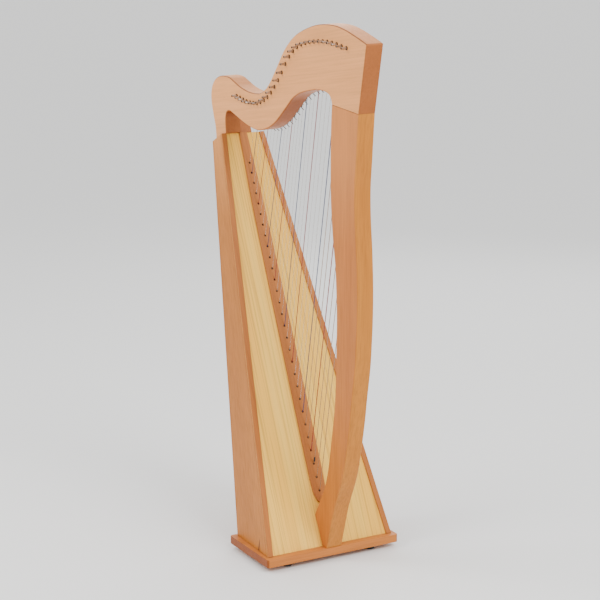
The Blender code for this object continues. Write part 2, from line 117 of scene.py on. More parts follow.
# Pins, strings and levers, counted from the shortest string as 0
FIRST_HOLE = 989.6 * MM
HOLE_STEPS = (26.9 * MM, 34.0 * MM)
STRING_SIDE = 13 * MM
STRING_RADII = (0.45 * MM, 0.8 * MM)
PIN_RADIUS = 3.2 * MM
PIN_NEAR = 15 * MM
PIN_FAR = 16 * MM
PIN_SQUARE = 2.5 * MM
PIN_CORNER = 1.22
PIN_SIDES = 24
LEVER_RISE = 5 * MM
LEVER_AHEAD = 4.5 * MM
SEMITONE = 0.056
BRIDGE_RADIUS = 2 * MM
JOINTED_LEVERS = (1, 4, 8, 11, 15, 18, 22, 25)
RED_STRINGS = (4, 11, 18, 25)
DARK_STRINGS = (1, 8, 15, 22)
DYED_WIDER = 1.4
FIRST_WOUND = 23
SLEEVED_STRING = 26
COIL_TURNS = 3.3
COIL_STEPS = 16

# Studio
FLOOR_SIZE = 200
FLOOR_COLOUR = (0.82, 0.82, 0.81, 1)
SKY_STRENGTH = 1.35
LIGHTS = (  # name, place, target, size and power
    ("key", (-0.7, -2.1, 2.3), (0, 0, 1.0), 1.3, 46),
    ("front", (2.7, 0.5, 3.1), (0, 0, 0.7), 1.6, 98),
    ("back", (-2.4, 2.6, 2.4), (0, 0, 0.6), 2.4, 30),
)
CAMERA_PLACE = (3.3261, -1.8933, 1.4371)
CAMERA_TURN = radians(60.42)
CAMERA_TILT = radians(12.04)
CAMERA_LENS = 95.58
CAMERA_SENSOR = 36

# Beech: the scales of its noises, and how strong its dark flecks are
BEECH_FIGURE = 14.0
BEECH_BANDS = 98.0
BEECH_LINES = 260.0
BEECH_DASHES = 416.0
BEECH_FLECKS = 0.3
# Spruce: spacing of the year rings, and how far they wander
RING_SPACING = 2.1 * MM
RING_WANDER = 10 * MM
# Pitch of the overspun wire on a bass string
WIRE_PITCH = 0.5 * MM


# Materials


def grey(value):
    return (value, value, value)


class Nodes:
    """A short way to build a material's node tree."""

    def __init__(self, name):
        self.material = bpy.data.materials.new(name)
        self.material.use_nodes = True
        self.tree = self.material.node_tree
        self.shader = self.tree.nodes["Principled BSDF"]

    def add(self, kind, settings=None, **inputs):
        node = self.tree.nodes.new("ShaderNode" + kind)
        for key, value in (settings or {}).items():
            setattr(node, key, value)
        for key, value in inputs.items():
            self.feed(node.inputs[key], value)
        return node

    def feed(self, socket, value):
        if isinstance(value, bpy.types.NodeSocket):
            self.tree.links.new(value, socket)
        else:
            socket.default_value = value

    def ramp(self, factor, stops):
        node = self.add("ValToRGB", Fac=factor)
        elements = node.color_ramp.elements
        while len(elements) < len(stops):
            elements.new(0.5)
        for element, (place, colour) in zip(elements, stops):
            element.position = place
            element.color = (*colour, 1)
        return node.outputs["Color"]

    def greys(self, factor, *stops):
        """A ramp through greys, whose stops are (place, value)."""
        return self.ramp(factor, [(place, grey(value)) for place, value in stops])

    def mix(self, kind, factor, a, b):
        node = self.add("Mix", {"data_type": "RGBA", "blend_type": kind})
        self.feed(node.inputs[0], factor)
        self.feed(node.inputs[6], a)
        self.feed(node.inputs[7], b)
        return node.outputs[2]

    def tint(self, colour, by, amount=1.0):
        return self.mix("MULTIPLY", amount, colour, by)

    def math(self, operation, *values, kind="Math", output=0):
        node = self.add(kind, {"operation": operation})
        for socket, value in zip(node.inputs, values):
            self.feed(socket, value)
        return node.outputs[output]

    def place(self):
        return self.add("TexCoord").outputs["Object"]

    def facing(self):
        return self.add("NewGeometry").outputs["Normal"]

    def split(self, vector):
        return self.add("SeparateXYZ", Vector=vector).outputs

    def noise(self, place, scale, **inputs):
        return self.add("TexNoise", Vector=place, Scale=scale, **inputs).outputs["Fac"]

    def stretched(self, along, amount):
        """Places in the object, drawn out along a direction."""
        turn = Vector((1, 0, 0)).rotation_difference(Vector(along).normalized()).to_euler()
        inputs = {"Vector": self.place(), "Rotation": turn, "Scale": (amount, 1, 1)}
        return self.add("Mapping", {"vector_type": "TEXTURE"}, **inputs).outputs["Vector"]

    def set(self, **inputs):
        for key, value in inputs.items():
            self.feed(self.shader.inputs[key.replace("_", " ")], value)

    def surface(self, colour, rough, bump, **inputs):
        """Sets the shader, where bump is a strength, a distance and a height, and returns the material."""
        strength, distance, height = bump
        normal = self.add("Bump", Strength=strength, Distance=distance, Height=height).outputs["Normal"]
        self.set(Base_Color=colour, Roughness=rough, Normal=normal, **inputs)
        return self.material


def tint_where(measure, start, end, colour):
    """A tint that sets in as the measure of where a face looks goes from start to end."""

    def tint(n, base):
        looks = n.split(n.facing())
        return n.tint(base, n.ramp(measure(n, looks), ((start, grey(1.0)), (end, colour))))

    return tint


def ahead(n, looks):
    return n.math("ABSOLUTE", looks["X"])


def downward(n, looks):
    return n.math("MULTIPLY", looks["Z"], -1.0)


def sideways_and_up(n, looks):
    """Highest on the eased upper edges of the faces along Y."""
    return n.math("MULTIPLY", n.math("ABSOLUTE", looks["Y"]), looks["Z"])


# Painted shade: a dark line along the rounded upper edges of the faces along Y; depth sets how dark.
def painted_rim_shade(depth):
    return tint_where(sideways_and_up, 0.20, 0.36, (1 - depth, 1 - 1.15 * depth, 1 - 1.25 * depth))


def painted_top_sheen(colour):
    """Painted sheen: from 0.8 m up, the faces along Y turn a little paler, towards the colour, as a glossy
    reflection of the light would make them.
    """

    def tint(n, base):
        height = n.greys(n.split(n.place())["Z"], (0.80, 0.0), (1.0, 0.32))
        broad = n.math("ABSOLUTE", n.split(n.facing())["Y"])
        return n.mix("MIX", n.tint(height, broad), base, (*colour, 1))

    return tint


def dark_streak(centre, size):
    """A dark mark about a centre, fading out at its size, in metres."""

    def tint(n, base):
        inputs = {"Vector": n.place(), "Location": centre, "Scale": size}
        spot = n.add("Mapping", {"vector_type": "TEXTURE"}, **inputs).outputs["Vector"]
        away = n.math("LENGTH", spot, kind="VectorMath", output="Value")
        return n.tint(base, n.ramp(away, ((0.65, (0.16, 0.10, 0.08)), (1.0, grey(1.0)))))

    return tint


def beech(name, along, pale, dark, contrast=0.5, line_depth=0.20, end_grain=(0.50, 0.37, 0.27), tints=()):
    """Sawn and lacquered beech whose grain runs along a direction; each tint changes its colour in turn."""
    n = Nodes(name)
    figure = n.noise(n.stretched(along, 9), BEECH_FIGURE, Detail=3.0, Roughness=0.55, Distortion=0.6)
    bands = n.noise(n.stretched(along, 26), BEECH_BANDS, Detail=2.0, Roughness=0.6)
    lines = n.noise(n.stretched(along, 40), BEECH_LINES, Detail=2.0, Roughness=0.6)
    dashes = n.add("TexVoronoi", {"feature": "F1"}, Vector=n.stretched(along, 9), Scale=BEECH_DASHES)
    streaks = n.greys(bands, (0.3, 0.89), (0.62, 1.0))
    fine = n.greys(lines, (0.32, 1 - line_depth), (0.58, 1.0))
    colour = n.ramp(figure, ((0.5 - contrast / 2, dark), (0.5 + contrast / 2, pale)))
    colour = n.tint(n.tint(colour, streaks, 0.75), fine, 0.8)

    flecks = n.greys(dashes.outputs["Distance"], (0.10, 1.0), (0.16, 0.0))
    flecks = n.tint(flecks, n.greys(figure, (0.4, 0.0), (0.6, 1.0)))
    fleck_colour = (*[value * 0.45 for value in dark], 1)
    colour = n.mix("MIX", n.tint(flecks, (*grey(BEECH_FLECKS), 1)), colour, fleck_colour)

    grain = Vector(along).normalized()[:]
    ends = n.math("ABSOLUTE", n.math("DOT_PRODUCT", n.facing(), grain, kind="VectorMath", output="Value"))
    colour = n.tint(colour, n.ramp(ends, ((0.12, grey(1.0)), (0.66, end_grain))))
    for tint in tints:
        colour = tint(n, colour)

    rough = n.greys(lines, (0.3, 0.46), (0.7, 0.36))
    bump = (0.22, 0.3 * MM, n.tint(fine, streaks, 0.6))
    return n.surface(colour, rough, bump, Coat_Weight=0.06, Coat_Roughness=0.22, Specular_IOR_Level=0.15)


def spruce(name, along, edge_colour):
    """Quarter-sawn spruce with straight, even lines and stained edges; its +Y half is a little darker with
    painted shade.
    """
    n = Nodes(name)
    drawn_out = n.stretched(along, 90)
    drift = n.noise(drawn_out, 16.0, Detail=2.0)
    medium = n.noise(drawn_out, 190.0, Detail=3.0, Roughness=0.6)
    place = n.split(n.place())
    across = n.math("ADD", place["Y"], n.math("MULTIPLY", drift, RING_WANDER))
    wave = n.math("SINE", n.math("MULTIPLY", across, 2 * pi / RING_SPACING))
    line = n.greys(wave, (0.2, 1.0), (1.0, 0.80))

    shades = ((0.30, (0.96, 0.53, 0.075)), (0.52, (1.0, 0.60, 0.098)), (0.72, (1.0, 0.67, 0.135)))
    bands = n.ramp(medium, ((0.36, (0.70, 0.64, 0.55)), (0.52, grey(1.0))))
    colour = n.tint(n.ramp(drift, shades), bands, 0.8)
    colour = n.tint(colour, line, 0.75)
    # Painted shade: the +Y half of the board is a little darker.
    colour = n.tint(colour, n.ramp(place["Y"], ((0.0, grey(1.0)), (0.02, (0.90, 0.82, 0.64)))))
    colour = n.tint(colour, n.ramp(place["Z"], ((0.3, grey(1.0)), (1.0, (0.94, 0.86, 0.74)))))
    edges = n.greys(n.math("ABSOLUTE", n.split(n.facing())["Y"]), (0.6, 0.0), (0.8, 1.0))
    colour = n.mix("MIX", edges, colour, (*edge_colour, 1))

    rough = n.greys(medium, (0.3, 0.5), (0.7, 0.38))
    bump = (0.25, 0.2 * MM, line)
    return n.surface(colour, rough, bump, Coat_Weight=0.06, Coat_Roughness=0.25, Specular_IOR_Level=0.15)


def metal(name, colour, roughness, wear=0.25, dark_ends=False):
    """Plated metal with fine scratches and dulled patches; the faces that look along Y can be made dark."""
    n = Nodes(name)
    place = n.place()
    scratch = n.noise(place, 900.0, Detail=3.0, Roughness=0.7)
    dull = n.noise(place, 120.0, Detail=2.0)
    tone = n.ramp(dull, ((0.35, [value * (1 - wear) for value in colour]), (0.65, colour)))
    if dark_ends:
        ends = n.greys(n.math("ABSOLUTE", n.split(n.facing())["Y"]), (0.3, 0.0), (0.6, 1.0))
        tone = n.mix("MIX", ends, tone, (0.02, 0.016, 0.014, 1))
    rough = n.greys(scratch, (0.3, roughness * 0.8), (0.7, roughness * 1.4))
    return n.surface(tone, rough, (0.15, 0.05 * MM, scratch), Metallic=1.0)


def rubber(name):
    """Black rubber with a fine grain."""
    n = Nodes(name)
    grain = n.noise(n.place(), 1400.0, Detail=2.0)
    tone = n.greys(grain, (0.3, 0.010), (0.7, 0.022))
    rough = n.greys(grain, (0.3, 0.62), (0.7, 0.85))
    return n.surface(tone, rough, (0.3, 0.1 * MM, grain))


def nylon(name, colour, opaque=1.0, wound=False):
    """String: drawn nylon with a faint unevenness, or an overspun bass string."""
    n = Nodes(name)
    place = n.place()
    mist = n.noise(place, 60.0, Detail=2.0)
    tone = n.ramp(mist, ((0.35, [value * 0.86 for value in colour]), (0.65, colour)))
    rough = n.greys(mist, (0.3, 0.22), (0.7, 0.34))
    bump = (0.08, 0.1 * MM, mist)
    if wound:
        bump = (0.35, 0.1 * MM, n.math("SINE", n.math("MULTIPLY", n.split(place)["Z"], 2 * pi / WIRE_PITCH)))
    return n.surface(tone, rough, bump, Alpha=opaque, IOR=1.53)


NECK_PALE = (0.79, 0.34, 0.115)
NECK_DARK = (0.71, 0.29, 0.088)
# Painted shade: the neck is darker on its downward faces and along its rounded upper edges.
NECK_TINTS = (tint_where(downward, 0.12, 0.6, (0.62, 0.45, 0.28)), painted_rim_shade(0.6))
NECK_WOOD = beech("beech_neck", (1, 0, 0.12), NECK_PALE, NECK_DARK, line_depth=0.13, tints=NECK_TINTS)

COLUMN_PALE = (0.55, 0.178, 0.030)
COLUMN_DARK = (0.45, 0.135, 0.021)
COLUMN_UP = (0.04, 0, 1)
# Painted sheen: the column's faces along Y are paler towards the top.
COLUMN_TOP_SHEEN = painted_top_sheen((0.71, 0.29, 0.092))
# Painted light: the column's faces along X are lighter and yellower than its faces along Y; painted shade
# darkens its rounded upper edges.
COLUMN_TINTS = (COLUMN_TOP_SHEEN, tint_where(ahead, 0.5, 0.8, (1.04, 1.19, 0.90)), painted_rim_shade(0.4))
COLUMN_WOOD = beech(
    "beech_column", COLUMN_UP, COLUMN_PALE, COLUMN_DARK, end_grain=grey(1.0), tints=COLUMN_TINTS
)

SIDE_PALE = (0.50, 0.172, 0.021)
SIDE_DARK = (0.42, 0.134, 0.013)
# Painted sheen: the side panels' faces along Y are paler towards the top.
SIDE_TOP_SHEEN = painted_top_sheen((0.84, 0.38, 0.12))
STREAK = dark_streak((0.092, 0, 0.030), (0.0034, 1, 0.040))
SIDE_WOOD = beech("beech_sides", UP_BOX, SIDE_PALE, SIDE_DARK, tints=(SIDE_TOP_SHEEN,))
MARKED_WOOD = beech("beech_side_marked", UP_BOX, SIDE_PALE, SIDE_DARK, tints=(SIDE_TOP_SHEEN, STREAK))

RED_WOOD = beech("beech_red", UP_BOX, (0.47, 0.16, 0.034), (0.39, 0.12, 0.022))
BASE_WOOD = beech("beech_base", (0, 1, 0), (0.57, 0.195, 0.04), (0.48, 0.15, 0.028), contrast=0.4)
SPRUCE = spruce("soundboard_spruce", UP_BOX, (0.42, 0.15, 0.034))
STEEL = metal("dull_nickel", (0.30, 0.27, 0.25), 0.28)
PIN_METAL = metal("pin_nickel", (0.50, 0.44, 0.38), 0.34, dark_ends=True)
BRONZE = metal("dark_bronze", (0.07, 0.045, 0.03), 0.35)
BRIGHT = metal("bright_nickel", (0.62, 0.60, 0.57), 0.22, wear=0.12)
RUBBER = rubber("black_rubber")
CLEAR = nylon("clear_nylon", (0.46, 0.42, 0.38), opaque=0.36)
RED = nylon("red_nylon", (0.23, 0.004, 0.006))
DARK = nylon("dark_nylon", (0.010, 0.018, 0.095))
WOUND = nylon("wound_copper", (0.32, 0.17, 0.09), wound=True)


# Meshes

MERGED = 0.02 * MM
FLAT = radians(0.2)
SHARP = radians(32)


def finish_piece(bm, name, material, body, smooth=35, weighted=True):
    """Makes the mesh a piece that rides on a body; edges sharper than smooth, in degrees, stay sharp."""
    bmesh.ops.recalc_face_normals(bm, faces=bm.faces)
    mesh = bpy.data.meshes.new(name)
    bm.to_mesh(mesh)
    bm.free()
    mesh.materials.append(material)
    mesh.shade_smooth()
    mesh.set_sharp_from_angle(angle=radians(smooth))
    piece = bpy.data.objects.new(name, mesh)
    bpy.context.scene.collection.objects.link(piece)
    if weighted:
        modifier = piece.modifiers.new("even_normals", "WEIGHTED_NORMAL")
        modifier.keep_sharp = True
    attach(piece, body)
    return piece


def refined(node, name, material, edge, segments=3, skip=None):
    """A copy of a CAD node that stands for it, with its sharp edges rounded over except those to skip."""
    bm = bmesh.new()
    bm.from_mesh(frame["nodes"][node].data)
    bmesh.ops.remove_doubles(bm, verts=bm.verts, dist=MERGED)
    bmesh.ops.dissolve_limit(bm, angle_limit=FLAT, verts=bm.verts, edges=bm.edges)
    sharp = [item for item in bm.edges if item.is_manifold and item.calc_face_angle() > SHARP]
    if skip:
        sharp = [item for item in sharp if not skip(item)]
    bmesh.ops.bevel(
        bm, geom=sharp, offset=edge, segments=segments, profile=0.5, affect="EDGES", clamp_overlap=True
    )
    piece = finish_piece(bm, name, material, "frame", smooth=50)
    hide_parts(node)


def smooth_line(points, steps):
    """Points of a Catmull-Rom curve through the given ones."""
    knots = [Vector(point) for point in points]
    ends = [2 * knots[0] - knots[1]] + knots + [2 * knots[-1] - knots[-2]]
    line = []
    for a, b, c, d in zip(ends, ends[1:], ends[2:], ends[3:]):
        for step in range(steps):
            t = step / steps
            bend, twist = 2 * a - 5 * b + 4 * c - d, 3 * b - a - 3 * c + d
            line.append(0.5 * (2 * b + (c - a) * t + bend * t**2 + twist * t**3))
    return line + [knots[-1]]


def inset_corner(before, corner, after, first, second):
    """The corner moved to the right of the outline by its own distance from each of its two edges."""
    normals = []
    for edge in (corner - before, after - corner):
        normals.append(Vector((edge.y, -edge.x)).normalized())
    a, b = normals
    cross = a.x * b.y - a.y * b.x
    if abs(cross) < 0.05:
        return corner + (a * first + b * second) / 2
    return corner + Vector(((first * b.y - second * a.y) / cross, (second * a.x - first * b.x) / cross))


def shaped_slab(outline, eased, half, matrix, steps=5):
    """A slab whose faces meet its rim in a rounded edge; eased holds each outline edge's own radius."""
    depth = max(eased)
    count = len(outline)
    area = sum(a.x * b.y - b.x * a.y for a, b in zip(outline, outline[1:] + outline[:1]))
    inward = 1 if area < 0 else -1
    half_rings = []
    for step in range(steps + 1):
        a = pi / 2 * step / steps
        share = inward * (1 - sin(a))
        ring = []
        for k in range(count):
            corner = (outline[k - 1], outline[k], outline[(k + 1) % count])
            ring.append(inset_corner(*corner, eased[k - 1] * share, eased[k] * share))
        half_rings.append((half - depth * (1 - cos(a)), ring))
    rings = [[(p.x, -y, p.y) for p in ring] for y, ring in half_rings]
    rings += [[(p.x, y, p.y) for p in ring] for y, ring in reversed(half_rings)]
    bm = bmesh.new()
    rings_to_mesh(bm, rings, matrix)
    return bm


def cut_with(bm, low, high, matrix):
    """Cuts away the block between two corners, which are given in the matrix's own axes."""
    cutter = bmesh.new()
    corners = [(low[0], low[1]), (high[0], low[1]), (high[0], high[1]), (low[0], high[1])]
    rings_to_mesh(cutter, [[(x, y, z) for x, y in corners] for z in (low[2], high[2])], matrix)
    pair = []
    for part in (bm, cutter):
        bmesh.ops.recalc_face_normals(part, faces=part.faces)
        mesh = bpy.data.meshes.new("cutting")
        part.to_mesh(mesh)
        part.free()
        pair.append(bpy.data.objects.new("cutting", mesh))
        bpy.context.scene.collection.objects.link(pair[-1])
    modifier = pair[0].modifiers.new("cut", "BOOLEAN")
    modifier.object = pair[1]
    modifier.operation = "DIFFERENCE"
    result = bmesh.new()
    result.from_object(pair[0], bpy.context.evaluated_depsgraph_get())
    for part in pair:
        bpy.data.objects.remove(part, do_unlink=True)
    return result


def rings_to_mesh(bm, rings, matrix=None, closed=True):
    """Skins rings of equally many points, and closes both ends."""
    loops = [[bm.verts.new(matrix @ Vector(p) if matrix else p) for p in ring] for ring in rings]
    for a, b in zip(loops, loops[1:]):
        for k in range(len(a)):
            n = (k + 1) % len(a)
            bm.faces.new((a[k], a[n], b[n], b[k]))
    if closed:
        bm.faces.new(loops[0][::-1])
        bm.faces.new(loops[-1])


def circle(sides):
    """The angles at the corners of a round ring."""
    return [2 * pi * k / sides for k in range(sides)]


def turned(bm, profile, matrix, sides=20, hollow=False):
    """A body turned about local Y through (radius, y) points in mm; a hollow one ends at its first point."""
    rings = []
    for radius, y in profile:
        rings.append([(radius * MM * cos(a), y * MM, radius * MM * sin(a)) for a in circle(sides)])
    rings_to_mesh(bm, rings + rings[:1] if hollow else rings, matrix, closed=not hollow)


def tube(bm, path, radius, sides=10):
    """A round rod along a path, its rings turned as little as possible; radius is one or a list of them."""
    points = [Vector(point) for point in path]
    along = (points[1] - points[0]).normalized()
    side = along.orthogonal().normalized()
    rings = []
    for k, point in enumerate(points):
        before = (points[k] - points[k - 1]).normalized() if k else along
        after = (points[k + 1] - points[k]).normalized() if k + 1 < len(points) else before
        along = (before + after).normalized()
        side = (side - along * side.dot(along)).normalized()
        up = along.cross(side)
        size = radius[k] if isinstance(radius, (list, tuple)) else radius
        rings.append([point + size * (cos(a) * side + sin(a) * up) for a in circle(sides)])
    rings_to_mesh(bm, rings)


def rounded_path(points, radius, steps=5):
    """The path with each inner corner replaced by a short curve."""
    path = [points[0]]
    for before, corner, after in zip(points, points[1:], points[2:]):
        start = corner + (before - corner).normalized() * min(radius, (before - corner).length / 2)
        end = corner + (after - corner).normalized() * min(radius, (after - corner).length / 2)
        for step in range(steps + 1):
            t = step / steps
            path.append(start * (1 - t) ** 2 + corner * 2 * t * (1 - t) + end * t**2)
    return path + [points[-1]]


# Where the strings run

NECK_SHAPE = BVHTree.FromObject(frame["nodes"]["neck"], bpy.context.evaluated_depsgraph_get())
BELOW_NECK = 0.95
INTO_NECK = 4 * MM
STRING_CLEARANCE = 0.1 * MM
BEND_CLEARANCE = 0.5 * MM
BEHIND_BRIDGE = 2 * MM


def neck_underside(point):
    """Height, along the neck's own upward axis, of the neck's underside above or below a point beside it."""
    inside = point - SIDEWAYS * (STRING_SIDE + INTO_NECK)
    start = inside - UPWARD * (inside.dot(UPWARD) - BELOW_NECK)
    hit = NECK_SHAPE.ray_cast(start, UPWARD)[0]
    return hit.dot(UPWARD)


def string_radius(number):
    """Strings grow evenly thicker; the dyed ones are drawn wider than they are, so that they show."""
    thin, thick = STRING_RADII
    radius = thin + (thick - thin) * number / (STRINGS - 1)
    return radius * DYED_WIDER if number in RED_STRINGS + DARK_STRINGS else radius


def hole_place(number):
    """How far up the sound box the string's hole is; the holes' spacing grows evenly."""
    start, end = HOLE_STEPS
    return FIRST_HOLE - start * number - (end - start) * number**2 / (2 * (STRINGS - 1))


def string_points(number):
    """The string's bend on the rib, its rest on the bridge pin, and where it meets the tuning pin."""
    radius = string_radius(number)
    bend = BOX_AXES @ Vector((radius + BEND_CLEARANCE, 0, hole_place(number)))
    side = SIDEWAYS * (HALF_NECK + STRING_SIDE)
    end = PINS[number] + side + AHEAD * (PIN_RADIUS + radius + STRING_CLEARANCE)
    length = (end - bend).length
    # The bridge pin is as far above the lever as the lever shortens the string
    level = neck_underside(end) + LEVER_RISE + SEMITONE * length
    share = (level - bend.dot(UPWARD)) / (end.dot(UPWARD) - bend.dot(UPWARD))
    bridge = bend.lerp(end, share) - AHEAD * BEHIND_BRIDGE
    bridge += SIDEWAYS * (end.dot(SIDEWAYS) - bridge.dot(SIDEWAYS))
    return bend, bridge, end


def lever_place(number):
    """Centre of the lever's hub on the neck's face."""
    bend, bridge, _ = string_points(number)
    level = neck_underside(bridge) + LEVER_RISE
    share = (level - bend.dot(UPWARD)) / (bridge.dot(UPWARD) - bend.dot(UPWARD))
    place = bend.lerp(bridge, share) + AHEAD * LEVER_AHEAD
    return place + SIDEWAYS * (bridge.dot(SIDEWAYS) - STRING_SIDE - place.dot(SIDEWAYS))


# Pieces


def at(point):
    """Local axes of the neck placed at a point."""
    return Matrix.Translation(point) @ NECK_AXES


def make_neck():
    top = smooth_line(NECK_TOP[:-1], 6) + smooth_line(NECK_TOP[-2:], 1)[1:]
    top = top[:-1] + rounded_path([top[-2], top[-1], Vector(SEAM_FRONT)], 4)[1:-1]
    under = smooth_line(NECK_UNDER, 6)
    seam = [Vector(point) + Vector((0, GAP / MM)) for point in (SEAM_FRONT, SEAM_INNER)]
    outline = [point * MM for point in top + seam + under]
    eased = [EASED] * len(outline)
    eased[len(top)] = EASED_SEAM
    bm = shaped_slab(outline, eased, HALF_NECK, NECK_PLACE)
    # The foot of its leg ends on top of the sound box
    below = (-110 * MM, -90 * MM, BOX_LENGTH - 120 * MM)
    bm = cut_with(bm, below, (30 * MM, 60 * MM, BOX_LENGTH + GAP), BOX_AXES)
    # The smooth curve goes no further back than the CAD neck does
    for vertex in bm.verts:
        vertex.co.x = max(vertex.co.x, CAD_BOX[0][0])
    neck = finish_piece(bm, "neck_shaped", NECK_WOOD, "frame", smooth=40)
    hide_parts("neck")


def make_column():
    front = smooth_line(COLUMN_FRONT[1:], 6)
    inner = smooth_line(COLUMN_INNER[:-1], 6)
    points = [Vector(COLUMN_FRONT[0])] + front + inner + [Vector(COLUMN_INNER[-1])]
    outline = [point * MM for point in points]
    eased = [EASED] * len(outline)
    eased[len(front)] = EASED_SEAM
    bm = shaped_slab(outline, eased, HALF_NECK, NECK_PLACE)
    # Its foot stands on the base plate and is scarfed over the sound box
    bm = cut_with(bm, (0, -90 * MM, -40 * MM), (250 * MM, 90 * MM, BOX_FOOT.z + GAP), Matrix())
    bm = cut_with(bm, (-200 * MM, -90 * MM, -60 * MM), (-TRIM_THICKNESS, 90 * MM, 300 * MM), BOX_AXES)
    column = finish_piece(bm, "column_shaped", COLUMN_WOOD, "frame", smooth=40)
    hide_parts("column")


def make_woodwork():
    make_neck()
    make_column()
    refined("neck_heel", "neck_heel_shaped", NECK_WOOD, 1.5 * MM)
    refined("base_plate", "base_plate_shaped", BASE_WOOD, 1.8 * MM)
    refined("side_panel_right", "side_right_shaped", MARKED_WOOD, 1.2 * MM, 2)
    refined("side_panel_left", "side_left_shaped", SIDE_WOOD, 1.2 * MM, 2)
    refined("edge_trim_right", "trim_right_shaped", RED_WOOD, 1.2 * MM)
    refined("edge_trim_left", "trim_left_shaped", RED_WOOD, 1.2 * MM)
    refined("back_panel", "back_panel_shaped", SIDE_WOOD, 1.2 * MM)
    refined("top_block", "top_block_shaped", NECK_WOOD, 0.6 * MM, 2)

    def near_a_hole(item):
        middle = BOX_AXES.inverted() @ ((item.verts[0].co + item.verts[1].co) / 2)
        return abs(middle.y) < 3 * MM

    refined("string_rib", "string_rib_shaped", RED_WOOD, 1.1 * MM, skip=near_a_hole)
    for node, material in (
        ("soundboard", SPRUCE), ("bottom_block", NECK_WOOD), ("brace_lower", SPRUCE), ("brace_upper", SPRUCE),
        ("column_dowel", COLUMN_WOOD), ("box_bolt", BRIGHT), ("column_bolt", BRIGHT),
    ):
        data = frame["nodes"][node].data
        data.materials.clear()
        data.materials.append(material)


def make_feet():
    """Turned rubber feet, dished underneath."""
    for node in ("foot_front_right", "foot_front_left", "foot_rear_right", "foot_rear_left"):
        low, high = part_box(node)
        centre = Vector(((low.x + high.x) / 2, (low.y + high.y) / 2, 0))
        upright = Matrix.Translation(centre) @ Matrix.Rotation(pi / 2, 4, "X")
        top = high.z / MM
        profile = [(0.5, 3), (3.5, 3), (4.2, 0.6), (5, 0), (9.2, 0), (10.2, 0.5), (10.5, 1.6)]
        profile += [(10.9, top - 0.8), (10.4, top - 0.05), (0.5, top - 0.05)]
        bm = bmesh.new()
        turned(bm, profile, upright, 40)
        foot = finish_piece(bm, node + "_turned", RUBBER, "frame")
        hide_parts(node)


def pin_ring(y, reach, square=False):
    """A ring about local Y: a circle, or a square with eased corners, whose sides are that far from Y."""
    ring = []
    for k in range(PIN_SIDES):
        a = 2 * pi * (k + 0.5) / PIN_SIDES
        radius = min(reach / max(abs(cos(a)), abs(sin(a))), reach * PIN_CORNER) if square else reach
        ring.append((radius * cos(a), y, radius * sin(a)))
    return ring


def make_pins():
    """Tuning pins, square for the key at the near end, and each turned a little further than the last."""
    near, far = -HALF_NECK - PIN_NEAR, HALF_NECK + PIN_FAR
    squares = [(near, 1.7 * MM), (near + 0.5 * MM, 2.3 * MM)]
    squares += [(near + 1.1 * MM, PIN_SQUARE), (near + 8.2 * MM, PIN_SQUARE)]
    rounds = [(near + 9.4 * MM, PIN_RADIUS), (-21 * MM, PIN_RADIUS), (21 * MM, PIN_RADIUS)]
    rounds += [(26 * MM, PIN_RADIUS * 0.97), (36 * MM, PIN_RADIUS * 0.97)]
    rounds += [(far - 0.6 * MM, PIN_RADIUS * 0.9), (far, 1.9 * MM)]
    rings = [pin_ring(y, reach, square=True) for y, reach in squares]
    rings += [pin_ring(y, reach) for y, reach in rounds]
    for number, place in enumerate(PINS):
        node = f"tuning_pin_{number + 1:02d}"
        bm = bmesh.new()
        rings_to_mesh(bm, rings, at(place) @ Matrix.Rotation(radians(37 * number % 90), 4, "Y"))
        pin = finish_piece(bm, node + "_turned", PIN_METAL, node)
        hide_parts(node)


def make_rings(name, profile, places):
    """Pressed rings of one profile at each of the places, in one piece."""
    bm = bmesh.new()
    for matrix in places:
        turned(bm, profile, matrix, hollow=True)
    bmesh.ops.remove_doubles(bm, verts=bm.verts, dist=0.01 * MM)
    finish_piece(bm, name, BRONZE, "frame", weighted=False)


def make_collars():
    """A dark ring round each tuning pin on the neck's face."""
    profile = [(3.5, 1.0), (3.5, -1.3), (3.8, -1.7), (4.3, -1.6), (4.7, -1.0), (4.8, -0.2), (4.8, 1.0)]
    make_rings("pin_collars", profile, [at(place) @ Matrix.Translation((0, -HALF_NECK, 0)) for place in PINS])


def make_eyelets():
    """A pressed ring round each string hole in the rib."""
    profile = [(1.75, -0.8), (1.75, 0.1), (1.95, 0.45), (2.35, 0.55), (2.8, 0.35), (3.0, 0.05), (3.0, -0.2)]
    outward = Matrix.Rotation(-pi / 2, 4, "Z")
    holes = [Matrix.Translation((0, 0, hole_place(number))) for number in range(STRINGS)]
    make_rings("eyelets", profile, [BOX_AXES @ hole @ outward for hole in holes])


def string_material(number):
    if number in RED_STRINGS:
        return RED
    if number in DARK_STRINGS:
        return DARK
    return WOUND if number >= FIRST_WOUND else CLEAR


def make_string(number):
    """From behind the anchor strip over its bend and its bridge pin to its tuning pin."""
    inner = BOX_AXES @ Vector((-BOARD_DEPTH - STRIP_DEPTH - 1.5 * MM, 0, hole_place(number)))
    path = rounded_path([inner, *string_points(number)], 4 * MM)
    bm = bmesh.new()
    tube(bm, path, string_radius(number))
    finish_piece(bm, f"string_{number + 1:02d}", string_material(number), "frame", weighted=False)


